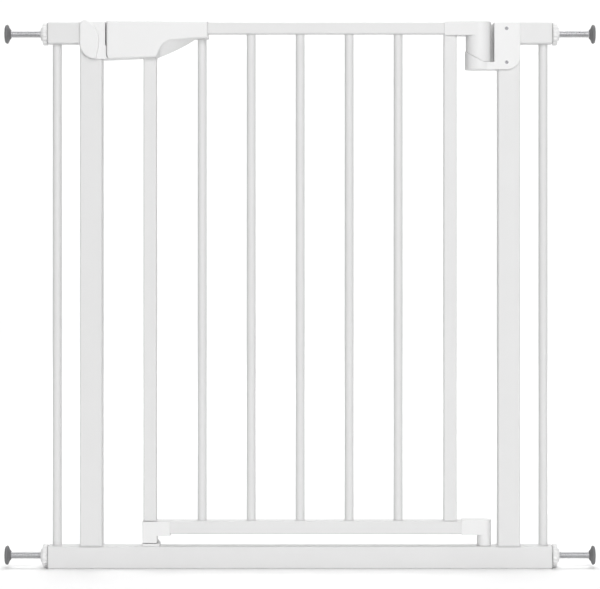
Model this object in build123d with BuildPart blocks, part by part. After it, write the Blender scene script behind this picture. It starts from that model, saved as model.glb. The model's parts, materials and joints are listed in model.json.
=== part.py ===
from build123d import *
import os
from math import cos, radians, sin

# Pressure-mounted safety gate: a welded steel frame, a swinging door that rises on a cam hinge,
# a handle with a sliding lock bolt, and four screw spindles with rubber pads.
#
# X runs along the gate, -Y is the front, Z is up, and sizes are millimetres. The origin is the
# middle of the underside of the bottom rail.

# ---------------------------------------------------------------- frame
GATE_HEIGHT = 760.0
FRAME_HALF = 350.0  # middle of the gate to the open end of the rail
FRAME_DEPTH = 25.0
TUBE_SIZE = 30.0  # height of the top stubs
POST_WIDTH = 30.8
RAIL_HEIGHT = 31.5
TUBE_WALL = 1.5
TUBE_CORNER = 2.5
POST_IN = 275.0  # inner face of a post
POST_OUT = POST_IN + POST_WIDTH
POST_MID = POST_IN + POST_WIDTH / 2
POST_TOP = 757.5  # the catch and the hinge bracket cap the posts
STUB_LOW = GATE_HEIGHT - TUBE_SIZE
OUTER_BAR_X = 338.7

# ---------------------------------------------------------------- bars and door tubes
BAR_RADIUS = 6.25
BAR_WALL = 1.2
BAR_PITCH = 68.3
BAR_COUNT = 5
DOOR_TUBE = 18.0  # width of a stile and depth of the whole door
DOOR_WALL = 1.2
DOOR_CORNER = 2.0
STILE_X = 208.9
DOOR_LOW = 48.0
DOOR_RAIL_LOW_TOP = 66.5
DOOR_RAIL_TOP_LOW = 743.8
DOOR_TOP = 760.0
DOOR_LEFT = -STILE_X - DOOR_TUBE / 2
LOW_RAIL_MID = (DOOR_LOW + DOOR_RAIL_LOW_TOP) / 2
TOP_RAIL_ENDS = (DOOR_LEFT, 229.0)
LOW_RAIL_ENDS = (DOOR_LEFT, 225.0)

# ---------------------------------------------------------------- spindles
SPINDLE_Z = {"top": 744.0, "bottom": 17.5}
ROD_RADIUS = 5.0  # M10 thread, 1.5 mm pitch
ROD_INSIDE = 35.0  # rod length inside the frame at full reach
ROD_OUTSIDE = 57.4
ROD_HOLE = 6.0  # radius of the hole for the rod in a post and in an end plug
PAD_FACE = 61.0  # face of the pad, out from the end of the frame
PAD_BACK = 52.8
PAD_NECK = ((PAD_BACK, 6.0), (55.2, 8.6), (56.6, 12.2))  # out from the frame, radius
PAD_RIM = ((58.2, 13.25), (59.8, 12.6))
PAD_FRONT = ((60.6, 11.9), (PAD_FACE, 10.6))
PLUG_INSET = 1.0  # the flange is smaller than the tube all round
PLUG_FLANGE = 1.6
PLUG_FIT = 0.1
PLUG_DEPTH = 14.0
WHEEL_RADIUS = 15.8
WHEEL_THICK = 6.4
WHEEL_GRIPS = 16
WHEEL_EDGE = 0.6
COLLAR_RADIUS = 9.5
COLLAR_THICK = 3.0
COLLAR_GRIPS = 8
GRIP_RADIUS = 2.2  # hollows around a nut, cut from just outside its rim
GRIP_OUT = 1.2
NUT_FIT = 0.05  # radial clearance of the rod in its nut

# ---------------------------------------------------------------- hinges
HINGE_X = 251.2
BARREL_X = 248.65
BARREL_RADIUS = 17.65
BARREL_ROUND = 2.0
SLEEVE_LEFT = 201.0
SLEEVE_Z = (742.0, 761.6)
SLEEVE_HALF = 10.4  # half depth at the sleeve's mouth, from where it widens to the barrel
CAM_BASE_RADIUS = 18.85
CAM_BASE_LOW = 694.0
CAM_LOW = 704.4  # flat of the cam
CAM_HIGH = 719.5  # crest of the cam
CAM_CREST = 15.0  # degrees either side of the door's direction
CAM_END = 102.3  # degrees, where the ramp meets the flat
CAM_STEPS = 6
CAM_REACH = 27.0
CAM_GAP = 0.35
PIN_RADIUS = 4.0
PIN_LOW = 696.0
PIN_TOP = 745.0
PIN_FIT = 0.06
BRACKET_LEFT = 269.6
BRACKET_TOP = 759.5
BRACKET_CORNER = 18.0
SHIELD_LEFT = 265.2  # the shield behind the barrel closes the slot between barrel and bracket
SHIELD_FRONT = 8.8
PIVOT_RADIUS = 3.5
PIVOT_LOW = 8.0
PIVOT_TOP = 62.0
BUSH_RADIUS = 6.5
BUSH_FLOOR = 2.0
LEG_X = 256.4
LEG_RADIUS = 9.7
LEG_LOW = 31.8
ELBOW_LOW = 47.3
ELBOW_TOP = 67.9
SPIGOT = 20.0  # length of the elbow inside the door's bottom rail

# ---------------------------------------------------------------- handle, bolt and catch
HANDLE_LEFT = -268.8
HANDLE_RIGHT = -128.0
HANDLE_TOP = 761.8
HANDLE_BOTTOM = 708.2
HANDLE_HALF = 16.0  # half of the handle's depth
CAVITY_HALF = 13.5
CAVITY_TOP = 759.3
HANDLE_STEP = -236.0  # the hollow behind the bolt way is deeper than the way itself
HANDLE_ROUND = 3.0
CAVITY_LEFT = -266.3
CAVITY_LOW = 713.5
SCOOP_WALL_X = -203.5  # right of here the hollow stays above the finger scoop
SCOOP_WALL_Z = 740.5
CAVITY_RIGHT = -130.5
STEP_LOW = 728.0
LIP_ROUND = 1.8
KEEL_HALF = 1.5  # half thickness of the keel between the two finger scoops
BOLT_Z = (717.0, 725.0)
BOLT_HALF = 5.0
BOLT_FIT = 0.2
BOLT_TIP = -268.3
BOLT_TAIL = -237.0
THUMB_HALF = 6.0
THUMB_TOP = 761.4
THUMB_STEM = (-244.0, -239.0)
THUMB_GUIDE = (-256.0, -228.0)
THUMB_GRIP = (-252.0, -232.0)
THUMB_SLOT = (-262.0, -231.0)
THUMB_FIT = 0.3
GUIDE_THICK = 1.7
GRIP_GROOVES = 5
GRIP_PITCH = 3.0
CATCH_RIGHT = -270.5
KEEPER_RIGHT = -269.2
CATCH_BOTTOM = 708.3
COVER_THICK = 3.0

# ---------------------------------------------------------------- bottom catch and shoe
SHOE_ENDS = (-219.2, -180.8)
SHOE_Z = (45.7, 65.4)
SHOE_HALF = 10.6
SHOE_LEG_LOW = 35.6
SHOE_LEG_RIGHT = -199.0
SHOE_LEG_BACK = 3.0
PLATE_TOP = 34.6
PLATE_ENDS = (-220.0, -195.2)
PLATE_HALF = 10.0
STOP_DEEP = (4.0, 9.0)
STOP_TOP = 45.0
STOP_RIGHT = -198.6
STOP_BEND = 39.0  # below here the stop flares out to the end of the plate
PLATE_SCREW_X = (-213.5, -201.5)
PLATE_SCREW_Y = -3.0

# ---------------------------------------------------------------- screws
HEAD_RADIUS = 2.65
HEAD_THICK = 1.6
SHANK_RADIUS = 1.6
CAP_HALF = 15.5  # half depth of the plastic caps over the posts
CAP_SCREW_LENGTH = 9.0
PLATE_SCREW_LENGTH = 11.0
BRACKET_SCREWS = ((286.8, 751.0), (286.8, 704.0))
CATCH_SCREWS = ((-291.0, 751.5), (-291.0, 722.0))
SHELL_SCREWS = ((-259.0, 741.0), (-228.0, 735.0))
SHELL_SCREW_LENGTH = 24.0
SHELL_BOSS = 3.5
RAIL_SCREW = (-165.0, 751.9)
RAIL_SCREW_LENGTH = 12.0
FITTING_SCREW_LENGTH = 7.0
SLEEVE_SCREW_X = 223.0
ELBOW_SCREW_X = 214.0
SHOE_SCREW_X = -190.0


def write(part, name):
    """Label a finished piece and write its file."""
    part.label = name
    export_step(part, f"parts/{name}.step")


def lengthwise(x, z):
    """The plane across the gate's length at `x`, centred on the height `z`."""
    return Plane(origin=(x, 0, z), x_dir=(0, 1, 0), z_dir=(1, 0, 0))


def outward(side, z, out=0.0):
    """The plane across a spindle, `out` beyond the end of the frame, facing away from the gate."""
    return Plane(origin=(side * (FRAME_HALF + out), 0, z), x_dir=(0, side, 0), z_dir=(side, 0, 0))


def box_tube(plane, across, deep, wall, corner, length):
    """A rectangular steel tube whose section is centred on the plane's origin."""
    with BuildPart() as tube:
        with BuildSketch(plane):
            RectangleRounded(across, deep, corner)
            RectangleRounded(across - 2 * wall, deep - 2 * wall, corner - wall / 2, mode=Mode.SUBTRACT)
        extrude(amount=length)
    return tube.part


def round_tube(plane, radius, wall, length):
    """A round steel tube centred on the plane's origin."""
    with BuildPart() as tube:
        with BuildSketch(plane):
            Circle(radius)
            Circle(radius - wall, mode=Mode.SUBTRACT)
        extrude(amount=length)
    return tube.part


def block(low, high, mode=Mode.ADD):
    """Add or cut a box between two opposite corners."""
    size = [top - bottom for bottom, top in zip(low, high)]
    middle = [(top + bottom) / 2 for bottom, top in zip(low, high)]
    with Locations(tuple(middle)):
        Box(*size, mode=mode)


def rod(origin, direction, radius, length, mode=Mode.ADD):
    """Add or cut a round rod that starts at `origin` and runs along `direction`."""
    with BuildSketch(Plane(origin=origin, z_dir=direction)) as section:
        Circle(radius)
    extrude(section.sketch, amount=length, mode=mode)


def screw(head, direction, length, mode=Mode.ADD):
    """Add a countersunk screw whose flat head lies at `head`, or cut the seat that it fills."""
    drive = Plane(origin=head, z_dir=direction)
    with BuildSketch(drive) as rim:
        Circle(HEAD_RADIUS)
    with BuildSketch(drive.offset(HEAD_THICK)) as neck:
        Circle(SHANK_RADIUS)
    loft([rim.sketch, neck.sketch], mode=mode)
    extrude(neck.sketch, amount=length - HEAD_THICK, mode=mode)


def cap_screws(places, mode=Mode.ADD):
    """Add the screws through the front of a post cap, or cut their seats."""
    for x, z in places:
        screw((x, -CAP_HALF, z), (0, 1, 0), CAP_SCREW_LENGTH, mode)


def plate_screws(mode=Mode.ADD):
    """Add the screws of the bottom catch, or cut their seats."""
    for x in PLATE_SCREW_X:
        screw((x, PLATE_SCREW_Y, PLATE_TOP), (0, 0, -1), PLATE_SCREW_LENGTH, mode)


def shell_screws(mode=Mode.ADD):
    """Add the screws that join the handle's shells and hold them to the rail, or cut their seats."""
    for x, z in SHELL_SCREWS:
        screw((x, HANDLE_HALF, z), (0, -1, 0), SHELL_SCREW_LENGTH, mode)
    screw((RAIL_SCREW[0], HANDLE_HALF, RAIL_SCREW[1]), (0, -1, 0), RAIL_SCREW_LENGTH, mode)


def fitting_screws(mode=Mode.ADD):
    """Add the screws that hold barrel, elbow and shoe to the door's rails, or cut their seats."""
    screw((SLEEVE_SCREW_X, 0, SLEEVE_Z[0]), (0, 0, 1), FITTING_SCREW_LENGTH, mode)
    screw((ELBOW_SCREW_X, DOOR_TUBE / 2, LOW_RAIL_MID), (0, -1, 0), FITTING_SCREW_LENGTH, mode)
    screw((SHOE_SCREW_X, SHOE_HALF, LOW_RAIL_MID), (0, -1, 0), FITTING_SCREW_LENGTH, mode)


def cam_ramps(bottom, top):
    """Cut a band along both ramps of the cam, from `bottom` to `top` above their surface."""
    for hand in (-1, 1):
        sections = []
        for step in range(CAM_STEPS + 1):
            part_way = step / CAM_STEPS
            angle = radians(CAM_CREST + part_way * (CAM_END - CAM_CREST))
            height = CAM_HIGH + part_way * (CAM_LOW - CAM_HIGH)
            radial = (-cos(angle), hand * sin(angle), 0)
            across = (radial[1], -radial[0], 0)
            with BuildSketch(Plane((HINGE_X, 0, height), x_dir=radial, z_dir=across)) as section:
                with Locations((CAM_REACH / 2, (bottom + top) / 2)):
                    Rectangle(CAM_REACH - 1, top - bottom)
            sections.append(section.sketch)
        loft(sections, ruled=True, mode=Mode.SUBTRACT)


def cam_sector(half_angle, facing, low_z, high_z):
    """Cut the sector within `half_angle` of the hinge axis' -X (facing -1) or +X (facing 1) side."""
    corner_x = HINGE_X + facing * CAM_REACH * cos(radians(half_angle))
    corner_y = CAM_REACH * sin(radians(half_angle))
    edge_x = HINGE_X + facing * CAM_REACH
    with BuildSketch(Plane.XY.offset(low_z)) as sector:
        Polygon((HINGE_X, 0), (corner_x, -corner_y), (edge_x, -corner_y), (edge_x, corner_y),
                (corner_x, corner_y), align=None)
    extrude(sector.sketch, amount=high_z - low_z, mode=Mode.SUBTRACT)


def handle_outline(back_y):
    """The whole outline of the handle, drawn at the back of a shell."""
    with BuildSketch(Plane.XZ.offset(-back_y)) as outline:
        with BuildLine():
            Polyline((-195.4, 712), (-200, 710.9), (-266.8, HANDLE_BOTTOM), (HANDLE_LEFT, 715.5),
                     (HANDLE_LEFT, HANDLE_TOP), (HANDLE_RIGHT, 761), (HANDLE_RIGHT, 737.5), (-145.8, 736.8))
            ThreePointArc((-145.8, 736.8), (-172, 722.1), (-195.4, 712))
        make_face()
    return outline.sketch


def lip_section(y, flare):
    """The space under the lip of the finger scoop at depth `y`, grown by `flare` at the rounded edge."""
    foot = (-202.8 - flare, 705)
    bend = (-194.6 - flare, 722.3 + flare / 2)
    with BuildSketch(Plane.XZ.offset(-y)) as section:
        with BuildLine():
            Line(foot, bend)
            curve = TangentArc(bend, (-181 - flare / 2, 734 + flare), tangent=(0.43, 0.9))
            Polyline(curve @ 1, (-145.8, 737.3 + flare), (-145.8, 705), foot)
        make_face()
    return section.sketch


def finger_scoop(hand):
    """Cut the finger scoop of one shell: it narrows from the rounded lip to the keel line."""
    with BuildSketch(Plane.XZ.offset(-hand * KEEL_HALF)) as root:
        with BuildLine():
            Line((-199, 705), (-195.4, 712))
            ThreePointArc((-195.4, 712), (-189, 714.4), (-183, 717.1))
            ThreePointArc((-183, 717.1), (-163, 726.6), (-145.8, 736.8))
            Polyline((-145.8, 736.8), (-145.8, 705), (-199, 705))
        make_face()
    sections = [
        lip_section(hand * HANDLE_HALF, LIP_ROUND),
        lip_section(hand * (HANDLE_HALF - LIP_ROUND / 3), LIP_ROUND / 3),
        lip_section(hand * (HANDLE_HALF - LIP_ROUND), 0),
        root.sketch,
    ]
    loft(sections, ruled=True, mode=Mode.SUBTRACT)


def bolt_way(low_x, high_x):
    """Cut the rectangular way that the lock bolt slides in."""
    half = BOLT_HALF + BOLT_FIT
    block((low_x, -half, BOLT_Z[0] - BOLT_FIT), (high_x, half, BOLT_Z[1] + BOLT_FIT), Mode.SUBTRACT)


os.makedirs("parts", exist_ok=True)

# ================================================================ frame tubes
with BuildPart() as bottom_rail:
    add(box_tube(lengthwise(-FRAME_HALF, RAIL_HEIGHT / 2), FRAME_DEPTH, RAIL_HEIGHT, TUBE_WALL, TUBE_CORNER,
                 2 * FRAME_HALF))
    rod((HINGE_X, 0, RAIL_HEIGHT), (0, 0, -1), BUSH_RADIUS, 2 * TUBE_WALL, Mode.SUBTRACT)
    plate_screws(Mode.SUBTRACT)
write(bottom_rail.part, "bottom_rail")

with BuildPart() as left_post:
    add(box_tube(Plane((-POST_MID, 0, RAIL_HEIGHT)), POST_WIDTH, FRAME_DEPTH, TUBE_WALL, TUBE_CORNER,
                 POST_TOP - RAIL_HEIGHT))
    rod((-POST_OUT, 0, SPINDLE_Z["top"]), (1, 0, 0), ROD_HOLE, 2 * TUBE_WALL, Mode.SUBTRACT)
    bolt_way(-POST_IN - 2 * TUBE_WALL, -POST_IN)
    cap_screws(CATCH_SCREWS, Mode.SUBTRACT)
write(left_post.part, "left_post")

with BuildPart() as right_post:
    add(box_tube(Plane((POST_MID, 0, RAIL_HEIGHT)), POST_WIDTH, FRAME_DEPTH, TUBE_WALL, TUBE_CORNER,
                 POST_TOP - RAIL_HEIGHT))
    rod((POST_OUT, 0, SPINDLE_Z["top"]), (-1, 0, 0), ROD_HOLE, 2 * TUBE_WALL, Mode.SUBTRACT)
    cap_screws(BRACKET_SCREWS, Mode.SUBTRACT)
write(right_post.part, "right_post")

for side, start in (("left", -FRAME_HALF), ("right", POST_OUT)):
    stub = box_tube(lengthwise(start, GATE_HEIGHT - TUBE_SIZE / 2), FRAME_DEPTH, TUBE_SIZE, TUBE_WALL,
                    TUBE_CORNER, FRAME_HALF - POST_OUT)
    write(stub, f"{side}_top_stub")

for side, x in (("left", -OUTER_BAR_X), ("right", OUTER_BAR_X)):
    bar = round_tube(Plane((x, 0, RAIL_HEIGHT)), BAR_RADIUS, BAR_WALL, STUB_LOW - RAIL_HEIGHT)
    write(bar, f"{side}_outer_bar")

# ================================================================ spindles, one at each corner
for level, tube_z, tube_high in (("top", GATE_HEIGHT - TUBE_SIZE / 2, TUBE_SIZE),
                                 ("bottom", RAIL_HEIGHT / 2, RAIL_HEIGHT)):
    for side, hand in ((-1, "left"), (1, "right")):
        corner = f"{level}_{hand}"
        z = SPINDLE_Z[level]
        inside = 2 * (TUBE_WALL + PLUG_FIT)

        with BuildPart() as end_plug:
            with BuildSketch(outward(side, tube_z)):
                RectangleRounded(FRAME_DEPTH - 2 * PLUG_INSET, tube_high - 2 * PLUG_INSET, TUBE_CORNER)
            extrude(amount=PLUG_FLANGE)
            with BuildSketch(outward(side, tube_z)):
                RectangleRounded(FRAME_DEPTH - inside, tube_high - inside, TUBE_CORNER)
            extrude(amount=-PLUG_DEPTH)
            rod((side * (FRAME_HALF + PLUG_FLANGE), 0, z), (-side, 0, 0), ROD_HOLE, PLUG_DEPTH + PLUG_FLANGE,
                Mode.SUBTRACT)
        write(end_plug.part, f"end_plug_{corner}")

        with BuildPart() as spindle_rod:
            with BuildSketch(outward(side, z, -ROD_INSIDE)):
                Circle(ROD_RADIUS)
            extrude(amount=ROD_INSIDE + ROD_OUTSIDE)
            ends = spindle_rod.faces().filter_by(Axis.X).sort_by(SortBy.DISTANCE)
            chamfer(ends[0].edges(), 1.0)
        write(spindle_rod.part, f"spindle_rod_{corner}")

        with BuildPart() as wall_pad:
            with BuildSketch(Plane((side * FRAME_HALF, 0, z), x_dir=(side, 0, 0), z_dir=(0, -side, 0))):
                with BuildLine():
                    Polyline((PAD_BACK, 0), *PAD_NECK)
                    ThreePointArc(PAD_NECK[-1], *PAD_RIM)
                    ThreePointArc(PAD_RIM[-1], *PAD_FRONT)
                    Polyline(PAD_FRONT[-1], (PAD_FACE, 0), (PAD_BACK, 0))
                make_face()
            revolve(axis=Axis((side * FRAME_HALF, 0, z), (side, 0, 0)))
            rod((side * (FRAME_HALF + PAD_BACK), 0, z), (side, 0, 0), ROD_RADIUS, ROD_OUTSIDE - PAD_BACK,
                Mode.SUBTRACT)
        write(wall_pad.part, f"wall_pad_{corner}")

        with BuildPart() as adjusting_nut:
            with BuildSketch(outward(side, z, PLUG_FLANGE)):
                Circle(WHEEL_RADIUS)
                with PolarLocations(WHEEL_RADIUS + GRIP_OUT, WHEEL_GRIPS):
                    Circle(GRIP_RADIUS, mode=Mode.SUBTRACT)
            extrude(amount=WHEEL_THICK)
            wheel_face = adjusting_nut.faces().filter_by(Axis.X).sort_by(Axis.X, reverse=side > 0)[0]
            chamfer(wheel_face.edges(), WHEEL_EDGE)
            with BuildSketch(outward(side, z, PLUG_FLANGE + WHEEL_THICK)):
                Circle(COLLAR_RADIUS)
                with PolarLocations(COLLAR_RADIUS + GRIP_OUT, COLLAR_GRIPS):
                    Circle(GRIP_RADIUS, mode=Mode.SUBTRACT)
            extrude(amount=COLLAR_THICK)
            rod((side * (FRAME_HALF + PLUG_FLANGE), 0, z), (side, 0, 0), ROD_RADIUS + NUT_FIT,
                WHEEL_THICK + COLLAR_THICK, Mode.SUBTRACT)
        write(adjusting_nut.part, f"adjusting_nut_{corner}")

# ================================================================ catch over the left post
with BuildPart() as latch_catch:
    with BuildSketch(Plane.XZ.offset(-CAP_HALF)):
        with BuildLine():
            Polyline((-POST_OUT, GATE_HEIGHT), (CATCH_RIGHT, GATE_HEIGHT), (CATCH_RIGHT, 727.6),
                     (KEEPER_RIGHT, 727.6), (KEEPER_RIGHT, 714.6), (-267.4, CATCH_BOTTOM),
                     (-285, CATCH_BOTTOM))
            TangentArc((-285, CATCH_BOTTOM), (-POST_OUT, CATCH_BOTTOM + 20), tangent=(-1, 0))
            Line((-POST_OUT, CATCH_BOTTOM + 20), (-POST_OUT, GATE_HEIGHT))
        make_face()
    extrude(amount=2 * CAP_HALF)
    fillet(latch_catch.faces().filter_by(Axis.Y).edges(), 1.0)
    block((-POST_OUT - 1, -FRAME_DEPTH / 2, CATCH_BOTTOM - 1), (-POST_IN, FRAME_DEPTH / 2, POST_TOP),
          Mode.SUBTRACT)
    bolt_way(-POST_IN - 1, KEEPER_RIGHT + 1)
    cap_screws(CATCH_SCREWS, Mode.SUBTRACT)
write(latch_catch.part, "latch_catch")

with BuildPart() as catch_cover:
    with BuildSketch(Plane.XZ.offset(CAP_HALF)):
        with BuildLine():
            crest = ThreePointArc((-297.5, 763), (-284.2, 752.6), (-278.8, 736))
            flank = TangentArc(crest @ 1, (-283, 708.6), tangent=crest % 1)
            heel = ThreePointArc(flank @ 1, (-299, 714.6), (-305.8, 733))
            Line(heel @ 1, (-305.8, 752))
            ThreePointArc((-305.8, 752), (-304, 759.8), (-297.5, 763))
        make_face()
    extrude(amount=COVER_THICK)
    fillet(catch_cover.faces().sort_by(Axis.Y)[0].edges(), 2.2)
write(catch_cover.part, "catch_cover")

with BuildPart() as catch_screws:
    cap_screws(CATCH_SCREWS)
write(catch_screws.part, "catch_screws")

# ================================================================ cam hinge at the top of the right post
with BuildPart() as bracket_shell:
    with BuildSketch(Plane.XZ.offset(-CAP_HALF)):
        with BuildLine():
            Polyline((POST_OUT, CAM_BASE_LOW + BRACKET_CORNER), (POST_OUT, BRACKET_TOP),
                     (BRACKET_LEFT, BRACKET_TOP), (BRACKET_LEFT, CAM_BASE_LOW),
                     (POST_OUT - BRACKET_CORNER, CAM_BASE_LOW))
            TangentArc((POST_OUT - BRACKET_CORNER, CAM_BASE_LOW), (POST_OUT, CAM_BASE_LOW + BRACKET_CORNER),
                       tangent=(1, 0))
        make_face()
    extrude(amount=2 * CAP_HALF)
    fillet(bracket_shell.faces().filter_by(Axis.Y).edges(), 1.0)

with BuildPart() as hinge_bracket:
    with BuildSketch(Plane.XY.offset(CAM_BASE_LOW)):
        with Locations((BARREL_X, 0)):
            Circle(CAM_BASE_RADIUS)
    extrude(amount=CAM_HIGH - CAM_BASE_LOW)
    fillet(hinge_bracket.edges().sort_by(Axis.Z)[:1], 1.2)
    cam_ramps(0, CAM_HIGH - CAM_LOW + 4)
    cam_sector(180 - CAM_END, 1, CAM_LOW, CAM_HIGH + 4)
    add(bracket_shell.part)
    block((BARREL_X, -CAP_HALF, CAM_BASE_LOW), (BRACKET_LEFT + 1, CAP_HALF, CAM_LOW))
    block((SHIELD_LEFT, SHIELD_FRONT, CAM_BASE_LOW), (BRACKET_LEFT + 1, CAP_HALF, BRACKET_TOP - 1))
    block((POST_IN, -FRAME_DEPTH / 2, CAM_BASE_LOW - 1), (POST_OUT + 1, FRAME_DEPTH / 2, POST_TOP),
          Mode.SUBTRACT)
    rod((HINGE_X, 0, PIN_LOW), (0, 0, 1), PIN_RADIUS, CAM_HIGH, Mode.SUBTRACT)
    cap_screws(BRACKET_SCREWS, Mode.SUBTRACT)
write(hinge_bracket.part, "hinge_bracket")

with BuildPart() as bracket_screws:
    cap_screws(BRACKET_SCREWS)
write(bracket_screws.part, "bracket_screws")

with BuildPart() as upper_hinge_pin:
    rod((HINGE_X, 0, PIN_LOW), (0, 0, 1), PIN_RADIUS, PIN_TOP - PIN_LOW)
    chamfer(upper_hinge_pin.edges().sort_by(Axis.Z)[-1:], 1.0)
write(upper_hinge_pin.part, "upper_hinge_pin")

with BuildPart() as hinge_barrel:
    with BuildSketch(Plane.XY.offset(SLEEVE_Z[0])):
        with Locations((BARREL_X, 0)):
            Circle(BARREL_RADIUS)
        with Locations((SLEEVE_LEFT + 1, 0)):
            Rectangle(2, 2 * SLEEVE_HALF)
        make_hull()
    extrude(amount=SLEEVE_Z[1] - SLEEVE_Z[0])
    fillet(hinge_barrel.faces().sort_by(Axis.Z)[-1].edges(), BARREL_ROUND)
    with BuildSketch(Plane.XY.offset(CAM_LOW + CAM_GAP)):
        with Locations((BARREL_X, 0)):
            Circle(BARREL_RADIUS)
    extrude(amount=SLEEVE_Z[0] - CAM_LOW - CAM_GAP)
    block((SLEEVE_LEFT - 1, -DOOR_TUBE / 2, DOOR_RAIL_TOP_LOW), (TOP_RAIL_ENDS[1], DOOR_TUBE / 2, DOOR_TOP),
          Mode.SUBTRACT)
    block((SLEEVE_LEFT - 1, -DOOR_TUBE / 2, SLEEVE_Z[0] - 1),
          (STILE_X + DOOR_TUBE / 2, DOOR_TUBE / 2, DOOR_TOP), Mode.SUBTRACT)
    rod((HINGE_X, 0, CAM_LOW), (0, 0, 1), PIN_RADIUS + PIN_FIT, PIN_TOP + 1 - CAM_LOW, Mode.SUBTRACT)
    cam_ramps(CAM_LOW - CAM_HIGH - 4, CAM_GAP)
    cam_sector(CAM_CREST, -1, CAM_LOW, CAM_HIGH + CAM_GAP)
    fitting_screws(Mode.SUBTRACT)
write(hinge_barrel.part, "hinge_barrel")

# ================================================================ lower pivot
with BuildPart() as pivot_bush:
    rod((HINGE_X, 0, PIVOT_LOW - BUSH_FLOOR), (0, 0, 1), BUSH_RADIUS, RAIL_HEIGHT + BUSH_FLOOR - PIVOT_LOW)
    rod((HINGE_X, 0, PIVOT_LOW), (0, 0, 1), PIVOT_RADIUS + PIN_FIT, RAIL_HEIGHT, Mode.SUBTRACT)
write(pivot_bush.part, "pivot_bush")

with BuildPart() as pivot_pin:
    rod((HINGE_X, 0, PIVOT_LOW), (0, 0, 1), PIVOT_RADIUS, PIVOT_TOP - PIVOT_LOW)
    chamfer(pivot_pin.edges().sort_by(Axis.Z)[-1:], 0.8)
write(pivot_pin.part, "pivot_pin")

with BuildPart() as hinge_elbow:
    inside = 2 * (DOOR_WALL + PLUG_FIT)
    with BuildSketch(Plane.XY.offset(ELBOW_LOW)):
        with Locations(((LOW_RAIL_ENDS[1] + LEG_X) / 2, 0)):
            Rectangle(LEG_X - LOW_RAIL_ENDS[1], 2 * LEG_RADIUS)
        with Locations((LEG_X, 0)):
            Circle(LEG_RADIUS)
    extrude(amount=ELBOW_TOP - ELBOW_LOW)
    fillet(hinge_elbow.faces().sort_by(Axis.Z)[-1].edges(), 1.5)
    rod((LEG_X, 0, LEG_LOW), (0, 0, 1), LEG_RADIUS, ELBOW_LOW - LEG_LOW)
    with BuildSketch(lengthwise(LOW_RAIL_ENDS[1], LOW_RAIL_MID)):
        RectangleRounded(DOOR_TUBE - inside, DOOR_RAIL_LOW_TOP - DOOR_LOW - inside, DOOR_CORNER)
    extrude(amount=-SPIGOT)
    rod((HINGE_X, 0, LEG_LOW), (0, 0, 1), PIVOT_RADIUS + PIN_FIT, PIVOT_TOP + 1 - LEG_LOW, Mode.SUBTRACT)
    fitting_screws(Mode.SUBTRACT)
write(hinge_elbow.part, "hinge_elbow")

# ================================================================ bottom catch and the door's shoe
with BuildPart() as bottom_catch:
    block((PLATE_ENDS[0], -PLATE_HALF, RAIL_HEIGHT), (PLATE_ENDS[1], PLATE_HALF, PLATE_TOP))
    fillet(bottom_catch.edges().filter_by(Axis.Z), 2.0)
    with BuildSketch(Plane.XZ.offset(-STOP_DEEP[1])):
        with BuildLine():
            Polyline((PLATE_ENDS[0], PLATE_TOP), (PLATE_ENDS[0], STOP_TOP), (STOP_RIGHT, STOP_TOP),
                     (STOP_RIGHT, STOP_BEND), (PLATE_ENDS[1], PLATE_TOP), close=True)
        make_face()
    extrude(amount=STOP_DEEP[1] - STOP_DEEP[0])
    fillet(bottom_catch.faces().sort_by(Axis.Z)[-1].edges(), 1.0)
    plate_screws(Mode.SUBTRACT)
write(bottom_catch.part, "bottom_catch")

with BuildPart() as bottom_catch_screws:
    plate_screws()
write(bottom_catch_screws.part, "bottom_catch_screws")

with BuildPart() as bottom_shoe:
    block((SHOE_ENDS[0], -SHOE_HALF, SHOE_Z[0]), (SHOE_ENDS[1], SHOE_HALF, SHOE_Z[1]))
    fillet(bottom_shoe.edges().filter_by(Axis.Z), 1.2)
    block((SHOE_ENDS[0], -SHOE_HALF, SHOE_LEG_LOW), (SHOE_LEG_RIGHT, SHOE_LEG_BACK, SHOE_Z[0]))
    fillet(bottom_shoe.faces().sort_by(Axis.Z)[0].edges(), 1.0)
    block((LOW_RAIL_ENDS[0], -DOOR_TUBE / 2, DOOR_LOW), (SHOE_ENDS[1] + 1, DOOR_TUBE / 2, SHOE_Z[1] + 1),
          Mode.SUBTRACT)
    fitting_screws(Mode.SUBTRACT)
write(bottom_shoe.part, "bottom_shoe")

# ================================================================ door tubes
for side, name in ((-1, "left"), (1, "right")):
    stile = box_tube(Plane((side * STILE_X, 0, DOOR_RAIL_LOW_TOP)), DOOR_TUBE, DOOR_TUBE, DOOR_WALL,
                     DOOR_CORNER, DOOR_RAIL_TOP_LOW - DOOR_RAIL_LOW_TOP)
    write(stile, f"door_{name}_stile")

with BuildPart() as door_top_rail:
    add(box_tube(lengthwise(TOP_RAIL_ENDS[0], (DOOR_RAIL_TOP_LOW + DOOR_TOP) / 2), DOOR_TUBE,
                 DOOR_TOP - DOOR_RAIL_TOP_LOW, DOOR_WALL, DOOR_CORNER, TOP_RAIL_ENDS[1] - TOP_RAIL_ENDS[0]))
    fitting_screws(Mode.SUBTRACT)
    shell_screws(Mode.SUBTRACT)
write(door_top_rail.part, "door_top_rail")

with BuildPart() as door_bottom_rail:
    add(box_tube(lengthwise(LOW_RAIL_ENDS[0], LOW_RAIL_MID), DOOR_TUBE, DOOR_RAIL_LOW_TOP - DOOR_LOW,
                 DOOR_WALL, DOOR_CORNER, LOW_RAIL_ENDS[1] - LOW_RAIL_ENDS[0]))
    fitting_screws(Mode.SUBTRACT)
write(door_bottom_rail.part, "door_bottom_rail")

for number in range(1, BAR_COUNT + 1):
    x = (number - (BAR_COUNT + 1) / 2) * BAR_PITCH
    bar = round_tube(Plane((x, 0, DOOR_RAIL_LOW_TOP)), BAR_RADIUS, BAR_WALL,
                     DOOR_RAIL_TOP_LOW - DOOR_RAIL_LOW_TOP)
    write(bar, f"door_bar_{number}")

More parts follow.
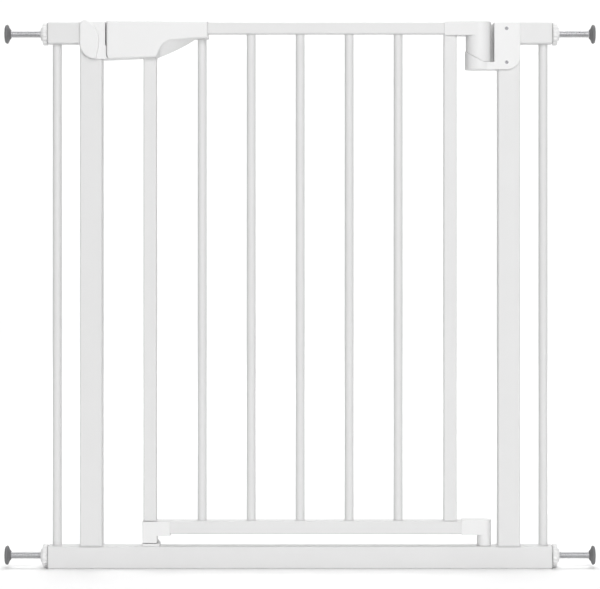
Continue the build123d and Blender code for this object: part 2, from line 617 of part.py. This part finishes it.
with BuildPart() as door_fitting_screws:
    fitting_screws()
write(door_fitting_screws.part, "door_fitting_screws")

# ================================================================ handle
for side, name in ((-1, "front"), (1, "rear")):
    inner, outer = sorted((0, side * CAVITY_HALF))
    with BuildPart() as shell:
        extrude(handle_outline(max(0, side * HANDLE_HALF)), amount=HANDLE_HALF)
        fillet(shell.faces().filter_by(Axis.Y).sort_by(Axis.Y, reverse=side > 0)[0].edges(), HANDLE_ROUND)
        finger_scoop(side)
        block((CAVITY_LEFT, inner, STEP_LOW), (HANDLE_STEP, outer, CAVITY_TOP), Mode.SUBTRACT)
        block((HANDLE_STEP, inner, CAVITY_LOW), (SCOOP_WALL_X, outer, CAVITY_TOP), Mode.SUBTRACT)
        block((SCOOP_WALL_X, inner, SCOOP_WALL_Z), (CAVITY_RIGHT, outer, CAVITY_TOP), Mode.SUBTRACT)
        for x, z in SHELL_SCREWS:
            rod((x, side * CAVITY_HALF, z), (0, -side, 0), SHELL_BOSS, CAVITY_HALF)
        if side > 0:
            rod((RAIL_SCREW[0], CAVITY_HALF, RAIL_SCREW[1]), (0, -1, 0), SHELL_BOSS,
                CAVITY_HALF - DOOR_TUBE / 2)
        bolt_way(HANDLE_LEFT - 1, HANDLE_STEP)
        block((CAVITY_LEFT, -BOLT_HALF - BOLT_FIT, BOLT_Z[1]),
              (HANDLE_STEP, BOLT_HALF + BOLT_FIT, STEP_LOW + 1), Mode.SUBTRACT)
        block((DOOR_LEFT, -DOOR_TUBE / 2, DOOR_RAIL_TOP_LOW), (HANDLE_RIGHT + 1, DOOR_TUBE / 2, DOOR_TOP),
              Mode.SUBTRACT)
        block((DOOR_LEFT, -DOOR_TUBE / 2, HANDLE_BOTTOM), (DOOR_LEFT + DOOR_TUBE, DOOR_TUBE / 2, DOOR_TOP),
              Mode.SUBTRACT)
        rod((-2 * BAR_PITCH, 0, HANDLE_BOTTOM), (0, 0, 1), BAR_RADIUS, CAVITY_TOP - HANDLE_BOTTOM,
            Mode.SUBTRACT)
        block((THUMB_SLOT[0], -THUMB_HALF - THUMB_FIT, CAVITY_TOP - 1),
              (THUMB_SLOT[1], THUMB_HALF + THUMB_FIT, HANDLE_TOP + 1), Mode.SUBTRACT)
        shell_screws(Mode.SUBTRACT)
    write(shell.part, f"handle_{name}_shell")

with BuildPart() as handle_screws:
    shell_screws()
write(handle_screws.part, "handle_screws")

# ================================================================ lock bolt and its thumb slide
with BuildPart() as latch_bolt:
    block((BOLT_TIP, -BOLT_HALF, BOLT_Z[0]), (BOLT_TAIL, BOLT_HALF, BOLT_Z[1]))
    chamfer(latch_bolt.faces().sort_by(Axis.X)[0].edges().filter_by(Axis.Z), 2.5)
write(latch_bolt.part, "latch_bolt")

with BuildPart() as thumb_slide:
    guide_top = CAVITY_TOP - BOLT_FIT
    guide_low = guide_top - GUIDE_THICK
    block((THUMB_STEM[0], -THUMB_HALF / 2, BOLT_Z[1]), (THUMB_STEM[1], THUMB_HALF / 2, guide_top))
    block((THUMB_GUIDE[0], -THUMB_HALF - 3, guide_low), (THUMB_GUIDE[1], THUMB_HALF + 3, guide_top))
    block((THUMB_GRIP[0], -THUMB_HALF, guide_low), (THUMB_GRIP[1], THUMB_HALF, THUMB_TOP))
    for groove in range(GRIP_GROOVES):
        x = sum(THUMB_GRIP) / 2 + (groove - (GRIP_GROOVES - 1) / 2) * GRIP_PITCH
        block((x - 0.5, -THUMB_HALF, THUMB_TOP - 0.8), (x + 0.5, THUMB_HALF, THUMB_TOP + 1), Mode.SUBTRACT)
write(thumb_slide.part, "thumb_slide")
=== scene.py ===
"""Looks of the doorway safety gate: powder-coated steel, moulded plastic, plated threads and rubber pads,
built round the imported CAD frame. Everything is in metres, in the CAD's own frame."""
import json
import math

import bmesh
import bpy
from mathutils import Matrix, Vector


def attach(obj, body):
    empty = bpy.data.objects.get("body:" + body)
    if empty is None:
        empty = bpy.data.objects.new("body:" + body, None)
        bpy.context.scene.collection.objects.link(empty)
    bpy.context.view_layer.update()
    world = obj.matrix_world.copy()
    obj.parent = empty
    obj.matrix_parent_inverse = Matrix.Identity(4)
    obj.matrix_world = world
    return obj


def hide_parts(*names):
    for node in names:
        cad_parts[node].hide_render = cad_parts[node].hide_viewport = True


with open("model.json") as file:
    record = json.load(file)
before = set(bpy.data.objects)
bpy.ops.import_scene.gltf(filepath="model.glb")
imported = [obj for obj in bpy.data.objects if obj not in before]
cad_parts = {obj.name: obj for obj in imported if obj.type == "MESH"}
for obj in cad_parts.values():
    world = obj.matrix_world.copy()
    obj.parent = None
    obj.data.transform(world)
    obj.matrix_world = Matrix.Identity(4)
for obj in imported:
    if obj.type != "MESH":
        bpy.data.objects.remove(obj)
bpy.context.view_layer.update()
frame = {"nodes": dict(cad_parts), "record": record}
MM = 0.001

# Sizes of the CAD's own features that the detailed pieces sit on, in millimetres.
FRAME_HALF = 350.0  # from the middle to the end of a rail
SPINDLE_Z = {"top": 744.0, "bottom": 17.5}
PITCH = 1.5
CREST = 5.0  # radius over the thread
ROOT = 4.1  # radius at its root
ROD_STEP = PITCH / 6  # between two rings of points along the rod
ROD_LOW = -35.0  # inner end of a rod, from the rail's end
ROD_HIGH = 57.4  # outer end of a rod, inside its pad
RAIL_TOP = 31.5
STUB_LOW = 730.0
POST_X = 290.4
POST_HALF = (15.4, 12.5)
POST_CORNER = 2.5
OUTER_BAR_X = 338.7
BAR_RADIUS = 6.25
STILE_X = 208.9
STILE_HALF = (9.0, 9.0)
STILE_CORNER = 2.0
BAR_SPACING = 68.3
DOOR_RAIL_LOW_TOP = 66.5
DOOR_RAIL_TOP_LOW = 743.8


# ---------------------------------------------------------------- node helpers
def new_material(name):
    """An empty node material with a Principled shader on its output."""
    material = bpy.data.materials.new(name)
    material.use_nodes = True
    tree = material.node_tree
    tree.nodes.clear()
    shader = tree.nodes.new("ShaderNodeBsdfPrincipled")
    output = tree.nodes.new("ShaderNodeOutputMaterial")
    tree.links.new(shader.outputs["BSDF"], output.inputs["Surface"])
    return material, tree, shader


def noise(tree, scale, detail=2.0, stretch=None):
    """Noise in object space; `scale` is in cells a metre and `stretch` squeezes it along an axis."""
    coordinates = tree.nodes.new("ShaderNodeTexCoord")
    texture = tree.nodes.new("ShaderNodeTexNoise")
    texture.inputs["Scale"].default_value = scale
    texture.inputs["Detail"].default_value = detail
    source = coordinates.outputs["Object"]
    if stretch:
        mapping = tree.nodes.new("ShaderNodeMapping")
        mapping.inputs["Scale"].default_value = stretch
        tree.links.new(source, mapping.inputs["Vector"])
        source = mapping.outputs["Vector"]
    tree.links.new(source, texture.inputs["Vector"])
    return texture.outputs["Fac"]


def spread(tree, value, low, high):
    """Map a noise value, which stays near 0.5, onto the range from `low` to `high`."""
    ramp = tree.nodes.new("ShaderNodeMapRange")
    ramp.inputs["From Min"].default_value = 0.3
    ramp.inputs["From Max"].default_value = 0.7
    ramp.inputs["To Min"].default_value = low
    ramp.inputs["To Max"].default_value = high
    tree.links.new(value, ramp.inputs["Value"])
    return ramp.outputs["Result"]


def smooth_range(tree, value, start, stop, before, after):
    """Change smoothly from `before` to `after` while `value` goes from `start` to `stop`."""
    ramp = tree.nodes.new("ShaderNodeMapRange")
    ramp.interpolation_type = "SMOOTHSTEP"
    ramp.inputs["From Min"].default_value = start
    ramp.inputs["From Max"].default_value = stop
    ramp.inputs["To Min"].default_value = before
    ramp.inputs["To Max"].default_value = after
    tree.links.new(value, ramp.inputs["Value"])
    return ramp.outputs["Result"]


def calculate(tree, operation, *values):
    """A Math node's result for one or two values."""
    node = tree.nodes.new("ShaderNodeMath")
    node.operation = operation
    for number, value in enumerate(values):
        tree.links.new(value, node.inputs[number])
    return node.outputs["Value"]


def tint(tree, value, dark, light):
    """Blend from the colour `dark` to the colour `light` by a value from 0 to 1."""
    blend = tree.nodes.new("ShaderNodeMix")
    blend.data_type = "RGBA"
    blend.inputs["A"].default_value = (*dark, 1)
    blend.inputs["B"].default_value = (*light, 1)
    tree.links.new(value, blend.inputs["Factor"])
    return blend.outputs["Result"]


def relief(tree, shader, height, depth, strength, round_edge=0.0):
    """Bump the surface by a height value `depth` metres deep, over edges rounded by `round_edge`."""
    bump = tree.nodes.new("ShaderNodeBump")
    bump.inputs["Strength"].default_value = strength
    bump.inputs["Distance"].default_value = depth
    tree.links.new(height, bump.inputs["Height"])
    if round_edge:
        bevel = tree.nodes.new("ShaderNodeBevel")
        bevel.inputs["Radius"].default_value = round_edge
        tree.links.new(bevel.outputs["Normal"], bump.inputs["Normal"])
    tree.links.new(bump.outputs["Normal"], shader.inputs["Normal"])


# ---------------------------------------------------------------- materials
def powder_coat():
    """White powder coat on steel: a satin film with a fine orange-peel ripple."""
    material, tree, shader = new_material("powder_coat")
    shader.inputs["Specular IOR Level"].default_value = 0.18
    patches = noise(tree, 9, 3)
    tree.links.new(tint(tree, patches, PAINT_DARK, PAINT_LIGHT), shader.inputs["Base Color"])
    tree.links.new(spread(tree, noise(tree, 60, 2), 0.34, 0.44), shader.inputs["Roughness"])
    relief(tree, shader, noise(tree, 700, 2), 0.00006, 0.35, 0.0006)
    return material


def moulded_plastic(name, dark, light, roughness=0.42):
    """Moulded plastic with a fine spark-eroded grain."""
    material, tree, shader = new_material(name)
    shader.inputs["Specular IOR Level"].default_value = 0.25
    tree.links.new(tint(tree, noise(tree, 14, 3), dark, light), shader.inputs["Base Color"])
    tree.links.new(spread(tree, noise(tree, 90, 2), roughness - 0.04, roughness + 0.06),
                   shader.inputs["Roughness"])
    relief(tree, shader, noise(tree, 2600, 3), 0.00003, 0.3, 0.0004)
    return material


def plated_steel(name, dark, light, roughness, stretch=None):
    """Zinc-plated steel with faint streaks from turning or drawing."""
    material, tree, shader = new_material(name)
    shader.inputs["Metallic"].default_value = 1.0
    tree.links.new(tint(tree, noise(tree, 240, 4, stretch), dark, light), shader.inputs["Base Color"])
    tree.links.new(spread(tree, noise(tree, 500, 3, stretch), roughness - 0.06, roughness + 0.08),
                   shader.inputs["Roughness"])
    relief(tree, shader, noise(tree, 1500, 3, stretch), 0.00002, 0.3)
    return material


def rubber():
    """Dark grey moulded rubber, a little dusty."""
    material, tree, shader = new_material("pad_rubber")
    shader.inputs["Specular IOR Level"].default_value = 0.35
    tree.links.new(tint(tree, noise(tree, 160, 4), (0.125, 0.125, 0.128), (0.175, 0.175, 0.178)),
                   shader.inputs["Base Color"])
    tree.links.new(spread(tree, noise(tree, 300, 2), 0.48, 0.68), shader.inputs["Roughness"])
    relief(tree, shader, noise(tree, 1400, 4), 0.00006, 0.4, 0.0003)
    return material


PAINT_DARK = (0.615, 0.615, 0.615)
PAINT_LIGHT = (0.635, 0.635, 0.635)
PLASTIC_DARK = (0.670, 0.670, 0.670)
PLASTIC_LIGHT = (0.690, 0.690, 0.690)

MATERIALS = {
    "painted_steel": powder_coat(),
    "white_plastic": moulded_plastic("white_plastic", PLASTIC_DARK, PLASTIC_LIGHT),
    "nut_plastic": moulded_plastic("nut_plastic", PLASTIC_DARK, PLASTIC_LIGHT, 0.36),
    # Painted shade: the end plugs' grey is darkened so the gap between each tube end and its nut shows as a
    # dark line.
    "plug_plastic": moulded_plastic("plug_plastic", (0.34, 0.34, 0.34), (0.38, 0.38, 0.38)),
    "latch_plastic": moulded_plastic("latch_plastic", (0.56, 0.56, 0.57), (0.60, 0.60, 0.61)),
    "spindle_steel": plated_steel("spindle_steel", (0.48, 0.48, 0.49), (0.60, 0.60, 0.61), 0.30),
    "pin_steel": plated_steel("pin_steel", (0.55, 0.55, 0.55), (0.64, 0.64, 0.64), 0.26, (1, 1, 6)),
    "screw_steel": plated_steel("screw_steel", (0.20, 0.20, 0.21), (0.30, 0.30, 0.31), 0.42),
    "pad_rubber": rubber(),
}
SLOT_OF = {part["node"]: part["material_slot"] for part in frame["record"]["subparts"]}


def finish_cad_nodes():
    """Give every carried-over CAD node the material of its slot."""
    for node, piece in frame["nodes"].items():
        piece.data.materials.clear()
        piece.data.materials.append(MATERIALS[SLOT_OF[node]])


# ---------------------------------------------------------------- detailed pieces
def turn(origin, axis, rings, segments, shape, hollow=False):
    """Points and faces turned about an axis; `shape(ring, angle)` gives the way along it and the radius."""
    axis = Vector(axis)
    across = Vector((0, 1, 0)) if abs(axis.x) > 0.5 else Vector((1, 0, 0))
    up = axis.cross(across)
    points = []
    for ring in range(rings):
        for step in range(segments):
            angle = 2 * math.pi * step / segments
            along, radius = shape(ring, angle)
            place = Vector(origin) + axis * along + (across * math.cos(angle) + up * math.sin(angle)) * radius
            points.append(place * MM)
    faces = []
    for ring in range(rings if hollow else rings - 1):
        here = ring * segments
        there = (ring + 1) % rings * segments
        for step in range(segments):
            after = (step + 1) % segments
            faces.append((here + step, here + after, there + after, there + step))
    if not hollow:
        faces.append(tuple(range(segments)))
        faces.append(tuple(range((rings - 1) * segments, rings * segments)))
    return points, faces


def add_piece(name, body, slot, shells, nodes=(), sharp=40):
    """Join several closed shells into one piece that rides on `body` and stands for `nodes`."""
    points = []
    faces = []
    for shell_points, shell_faces in shells:
        base = len(points)
        points.extend(shell_points)
        faces.extend(tuple(base + corner for corner in face) for face in shell_faces)
    mesh = bpy.data.meshes.new(name)
    mesh.from_pydata(points, [], faces)
    build = bmesh.new()
    build.from_mesh(mesh)
    bmesh.ops.recalc_face_normals(build, faces=build.faces)
    for face in build.faces:
        face.smooth = True
    for edge in build.edges:
        edge.smooth = edge.calc_face_angle(0) < math.radians(sharp)
    build.to_mesh(mesh)
    build.free()
    mesh.materials.append(MATERIALS[slot])
    piece = bpy.data.objects.new(name, mesh)
    bpy.context.collection.objects.link(piece)
    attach(piece, body)
    if nodes:
        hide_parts(*nodes)


def thread(low, high):
    """The outline of a rod with a screw thread from `low` to `high`, its ends chamfered."""
    rings = round((high - low) / ROD_STEP) + 1

    def shape(ring, angle):
        along = low + (high - low) * ring / (rings - 1)
        phase = (along / PITCH - angle / (2 * math.pi)) % 1
        ridge = min(1.0, max(0.0, 1.5 - 4 * abs(phase - 0.5)))
        end = min(along - low, high - along)
        return along, min(ROOT + (CREST - ROOT) * ridge, ROOT - 0.6 + end)

    return rings, shape


NUT_PROFILE = (
    # out from the frame, radius, depth of the grips
    (1.6, 5.05, 0), (1.6, 10.0, 0), (1.6, 14.7, 0.4), (1.9, 15.4, 0.9), (2.5, 15.75, 1.15), (4.8, 15.8, 1.2),
    (7.0, 15.75, 1.15), (7.7, 15.4, 0.9), (8.0, 14.8, 0.5), (8.0, 13.6, 0), (7.5, 13.0, 0), (7.5, 10.6, 0),
    (8.0, 9.9, 0.1), (8.6, 9.5, 0.7), (10.3, 9.4, 0.8), (10.8, 9.1, 0.6), (11.0, 8.5, 0.2), (11.0, 6.2, 0),
    (10.4, 5.05, 0),
)
WHEEL_GRIPS = 16
COLLAR_GRIPS = 8
COLLAR_RING = 12


def nut(ring, angle):
    """The outline of an adjusting nut: a grip wheel with a dished face and a smaller grip collar."""
    along, radius, depth = NUT_PROFILE[ring]
    grips = WHEEL_GRIPS if ring < COLLAR_RING else COLLAR_GRIPS
    hollow = (0.5 + 0.5 * math.cos(grips * angle)) ** 1.6
    return along, radius - depth * hollow


PAD_PROFILE = (
    # out from the frame, radius, depth of the ribs on the flare
    (52.8, 5.0, 0), (52.8, 5.7, 0), (53.0, 6.1, 0), (54.0, 7.2, 0.25), (55.2, 8.6, 0.45), (56.0, 10.6, 0.45),
    (56.6, 12.2, 0.2), (57.2, 12.9, 0), (58.2, 13.25, 0), (59.2, 13.05, 0), (59.8, 12.6, 0), (60.6, 11.9, 0),
    (61.0, 10.9, 0), (61.0, 9.9, 0), (60.4, 9.6, 0), (60.4, 8.9, 0), (61.0, 8.6, 0), (61.0, 7.2, 0),
    (60.4, 6.9, 0), (60.4, 6.2, 0), (61.0, 5.9, 0), (61.0, 4.5, 0), (60.4, 4.2, 0), (60.4, 3.5, 0),
    (61.0, 3.2, 0),
)
PAD_RIBS = 12


def pad(ring, angle):
    """The outline of a wall pad: ribbed on the flare behind, with ring grooves in its face."""
    along, radius, depth = PAD_PROFILE[ring]
    return along, radius - depth * (0.5 + 0.5 * math.cos(PAD_RIBS * angle)) ** 2


def add_spindles():
    """The threaded rod, the ribbed pad and the adjusting nut at each corner."""
    for level, z in SPINDLE_Z.items():
        for side, hand in ((-1, "left"), (1, "right")):
            corner = f"{level}_{hand}"
            end = (side * FRAME_HALF, 0, z)
            out = (side, 0, 0)
            rings, outline = thread(ROD_LOW, ROD_HIGH)
            add_piece(f"threaded_rod_{corner}", f"spindle_{corner}", "spindle_steel",
                      [turn(end, out, rings, 24, outline)], [f"spindle_rod_{corner}"], 60)
            add_piece(f"ribbed_pad_{corner}", f"spindle_{corner}", "pad_rubber",
                      [turn(end, out, len(PAD_PROFILE), 96, pad)], [f"wall_pad_{corner}"], 30)
            add_piece(f"grip_nut_{corner}", f"nut_{corner}", "nut_plastic",
                      [turn(end, out, len(NUT_PROFILE), 160, nut, True)], [f"adjusting_nut_{corner}"], 50)


RECESS_RINGS = (0.15, 0.35, 0.6, 0.85, 1.1, 1.35, 1.5, 1.6, 1.75, 2.1, 2.5)
ARM_HALF = 0.34
ARM_REACH = 1.55
RECESS_DEEP = 1.0


def screw_outline(length):
    """The outline of a countersunk screw with a cross recess in its head."""
    body = ((0.12, 2.65), (0.3, 2.6), (1.6, 1.6), (length - 1.2, 1.6), (length, 0.7))

    def shape(ring, angle):
        if ring >= len(RECESS_RINGS):
            return body[ring - len(RECESS_RINGS)]
        radius = RECESS_RINGS[ring]
        off_arm = radius * min(abs(math.cos(angle)), abs(math.sin(angle)))
        in_cross = radius < ARM_REACH and off_arm < max(ARM_HALF, 0.6 - radius)
        return (RECESS_DEEP * (1.3 - radius / ARM_REACH) / 1.3 if in_cross else 0.02, radius)

    return len(RECESS_RINGS) + len(body), shape


SCREWS = {
    # node: body, then head, direction and length of each screw
    "bracket_screws": ("frame", (((286.8, -15.5, 751.0), (0, 1, 0), 9), ((286.8, -15.5, 704.0), (0, 1, 0), 9))),
    "bottom_catch_screws": ("frame", (((-213.5, -3.0, 34.6), (0, 0, -1), 11),
                                      ((-201.5, -3.0, 34.6), (0, 0, -1), 11))),
    "handle_screws": ("door", (((-259.0, 16.0, 741.0), (0, -1, 0), 24), ((-228.0, 16.0, 735.0), (0, -1, 0), 24),
                               ((-165.0, 16.0, 751.9), (0, -1, 0), 12))),
    "door_fitting_screws": ("door", (((223.0, 0, 742.0), (0, 0, 1), 7), ((214.0, 9.0, 57.25), (0, -1, 0), 7),
                                     ((-190.0, 10.6, 57.25), (0, -1, 0), 7))),
}


def add_screws():
    """Cross-recess screws in place of the plain ones."""
    for node, (body, places) in SCREWS.items():
        shells = []
        for head, direction, length in places:
            rings, outline = screw_outline(length)
            shells.append(turn(head, direction, rings, 48, outline))
        add_piece(f"cross_{node}", body, "screw_steel", shells, [node], 28)


UP = (0, 0, 1)
DOWN = (0, 0, -1)
POST_WELD = 1.5
BAR_WELD = 1.1
DOOR_WELD = 1.0
BEAD_SECTION = ((-0.3, -0.3), (1.0, -0.05), (0.5, 0.22), (0.22, 0.5), (-0.05, 1.0))  # out, along the tube


def bead(loop, rise, width):
    """A fillet weld along a closed loop of (point, outward normal); `rise` points along the tube."""
    rise = Vector(rise)
    points = []
    for number, (place, normal) in enumerate(loop):
        swell = width * (1 + 0.12 * math.sin(number * 2.4))
        for out, up in BEAD_SECTION:
            points.append((Vector(place) + Vector(normal) * (out * swell) + rise * (up * swell)) * MM)
    section = len(BEAD_SECTION)
    count = len(loop)
    faces = []
    for number in range(count):
        here = number * section
        there = (number + 1) % count * section
        for corner in range(section):
            after = (corner + 1) % section
            faces.append((here + corner, there + corner, there + after, here + after))
    return points, faces


def round_loop(x, z, radius):
    """The foot of a round tube at height `z`, as points with their outward normals."""
    loop = []
    for step in range(40):
        angle = 2 * math.pi * step / 40
        normal = (math.cos(angle), math.sin(angle), 0)
        loop.append(((x + radius * normal[0], radius * normal[1], z), normal))
    return loop


def box_loop(x, z, half_x, half_y, corner):
    """The foot of a rectangular tube with rounded corners, as points with their outward normals."""
    loop = []
    for start, corner_x, corner_y in ((0, 1, 1), (90, -1, 1), (180, -1, -1), (270, 1, -1)):
        for step in range(7):
            angle = math.radians(start + 15 * step)
            normal = (math.cos(angle), math.sin(angle), 0)
            middle = (x + corner_x * (half_x - corner), corner_y * (half_y - corner))
            loop.append(((middle[0] + corner * normal[0], middle[1] + corner * normal[1], z), normal))
    return loop


def add_welds():
    """Small fillet welds under the paint where the tubes meet."""
    frame_beads = []
    for side in (-1, 1):
        bar_x = side * OUTER_BAR_X
        post = box_loop(side * POST_X, RAIL_TOP, *POST_HALF, POST_CORNER)
        frame_beads.append(bead(post, UP, POST_WELD))
        frame_beads.append(bead(round_loop(bar_x, RAIL_TOP, BAR_RADIUS), UP, BAR_WELD))
        frame_beads.append(bead(round_loop(bar_x, STUB_LOW, BAR_RADIUS), DOWN, BAR_WELD))
    add_piece("frame_welds", "frame", "painted_steel", frame_beads)
    door_beads = []
    for side in (-1, 1):
        stile = box_loop(side * STILE_X, DOOR_RAIL_LOW_TOP, *STILE_HALF, STILE_CORNER)
        door_beads.append(bead(stile, UP, DOOR_WELD))
    for number in range(-2, 3):
        bar_x = number * BAR_SPACING
        door_beads.append(bead(round_loop(bar_x, DOOR_RAIL_LOW_TOP, BAR_RADIUS), UP, DOOR_WELD))
        if number > -2:  # the handle hides the first bar's upper end
            door_beads.append(bead(round_loop(bar_x, DOOR_RAIL_TOP_LOW, BAR_RADIUS), DOWN, DOOR_WELD))
    add_piece("door_welds", "door", "painted_steel", door_beads)


# ---------------------------------------------------------------- stage, light and camera
def area_light(name, place, target, size, size_y, power):
    """A soft rectangular light at `place`, turned towards `target`."""
    data = bpy.data.lights.new(name, "AREA")
    data.shape = "RECTANGLE"
    data.size = size
    data.size_y = size_y
    data.energy = power
    light = bpy.data.objects.new(name, data)
    light.location = place
    light.rotation_euler = (Vector(target) - Vector(place)).to_track_quat("-Z", "Y").to_euler()
    bpy.context.collection.objects.link(light)


STAGE_HALF_WIDTH = 6.5
STAGE_FRONT = -7.0
STAGE_BACK = 7.5  # beyond a camera that circles the gate with its door open
STAGE_TOP = 6.0
STAGE_BEND = 2.0
BEND_STEPS = 12
# painted shade: the paper's colour near the front of the gate, darker than far behind it
PAPER_NEAR_PAINTED_SHADE = 0.64
PAPER_FAR = 0.94
FILL_AHEAD = 0.26
FILL_ASIDE = 0.11
HORIZON = 0.60
CAMERA_PLACE = (0.045, -3.0, 0.485)
VIEW_CENTRE = (0.0, -0.0125, 0.3815)
VIEW_WIDTH = 0.8334


def build_stage():
    """A pale floor with painted shade, greyer in front of the gate, that sweeps up into a plain backdrop behind
    it.
    """
    foot = STAGE_BACK - STAGE_BEND
    profile = [(STAGE_FRONT, 0.0), (foot, 0.0)]
    for step in range(1, BEND_STEPS + 1):
        angle = math.radians(90 * step / BEND_STEPS)
        profile.append((foot + STAGE_BEND * math.sin(angle), STAGE_BEND * (1 - math.cos(angle))))
    profile.append((STAGE_BACK, STAGE_TOP))
    mesh = bpy.data.meshes.new("studio_floor")
    points = [(x, y, z) for y, z in profile for x in (-STAGE_HALF_WIDTH, STAGE_HALF_WIDTH)]
    faces = [(i, i + 1, i + 3, i + 2) for i in range(0, len(points) - 2, 2)]
    mesh.from_pydata(points, [], faces)
    for polygon in mesh.polygons:
        polygon.use_smooth = True
    floor = bpy.data.objects.new("studio_floor", mesh)
    bpy.context.collection.objects.link(floor)
    material, tree, shader = new_material("studio_paper")
    shader.inputs["Roughness"].default_value = 0.9
    shader.inputs["Specular IOR Level"].default_value = 0.1
    coordinates = tree.nodes.new("ShaderNodeTexCoord")
    split = tree.nodes.new("ShaderNodeSeparateXYZ")
    tree.links.new(coordinates.outputs["Object"], split.inputs["Vector"])
    # Painted shade: the paper darkens towards the front of the gate, standing in for less light falling there.
    depth = smooth_range(tree, split.outputs["Y"], -1.1, -0.15, 0.0, 1.0)
    paper = tint(tree, depth, (PAPER_NEAR_PAINTED_SHADE,) * 3, (PAPER_FAR,) * 3)
    tree.links.new(paper, shader.inputs["Base Color"])
    mesh.materials.append(material)


def build_light():
    """Soft boxes in front and above, one on the backdrop, and a fill that is weak from above and aside."""
    world = bpy.data.worlds.new("studio")
    world.use_nodes = True
    tree = world.node_tree
    coordinates = tree.nodes.new("ShaderNodeTexCoord")
    split = tree.nodes.new("ShaderNodeSeparateXYZ")
    tree.links.new(coordinates.outputs["Generated"], split.inputs["Vector"])
    ahead = calculate(tree, "ABSOLUTE", split.outputs["Y"])
    level = calculate(tree, "ABSOLUTE", split.outputs["Z"])
    fill = smooth_range(tree, ahead, 0.05, 0.85, FILL_ASIDE, FILL_AHEAD)
    horizon = smooth_range(tree, level, 0.08, 0.26, HORIZON, 0.0)
    background = tree.nodes["Background"]
    background.inputs["Color"].default_value = (1, 1, 1, 1)
    tree.links.new(calculate(tree, "MAXIMUM", fill, horizon), background.inputs["Strength"])
    bpy.context.scene.world = world
    area_light("front_box", (0.8, -6.4, 1.8), (0, 0, 0.3), 3.0, 2.8, 172)
    area_light("high_box", (0.6, -3.9, 4.0), (0, 0, 0.2), 2.6, 2.0, 126)
    area_light("paper_box", (0, 2.9, 4.6), (0, 4.0, 0), 3.6, 6.0, 252)
    bpy.context.scene.view_settings.view_transform = "Standard"


def build_camera():
    """A level camera a little right of the middle; a small shift centres the gate in the picture."""
    data = bpy.data.cameras.new("camera")
    camera = bpy.data.objects.new("camera", data)
    camera.location = CAMERA_PLACE
    camera.rotation_euler = (math.radians(90), 0, 0)
    distance = VIEW_CENTRE[1] - CAMERA_PLACE[1]
    data.lens = data.sensor_width * distance / VIEW_WIDTH
    data.shift_x = (VIEW_CENTRE[0] - CAMERA_PLACE[0]) / VIEW_WIDTH
    data.shift_y = (VIEW_CENTRE[2] - CAMERA_PLACE[2]) / VIEW_WIDTH
    data.clip_end = 60
    bpy.context.collection.objects.link(camera)
    bpy.context.scene.camera = camera


finish_cad_nodes()
add_spindles()
add_screws()
add_welds()
build_stage()
build_light()
build_camera()
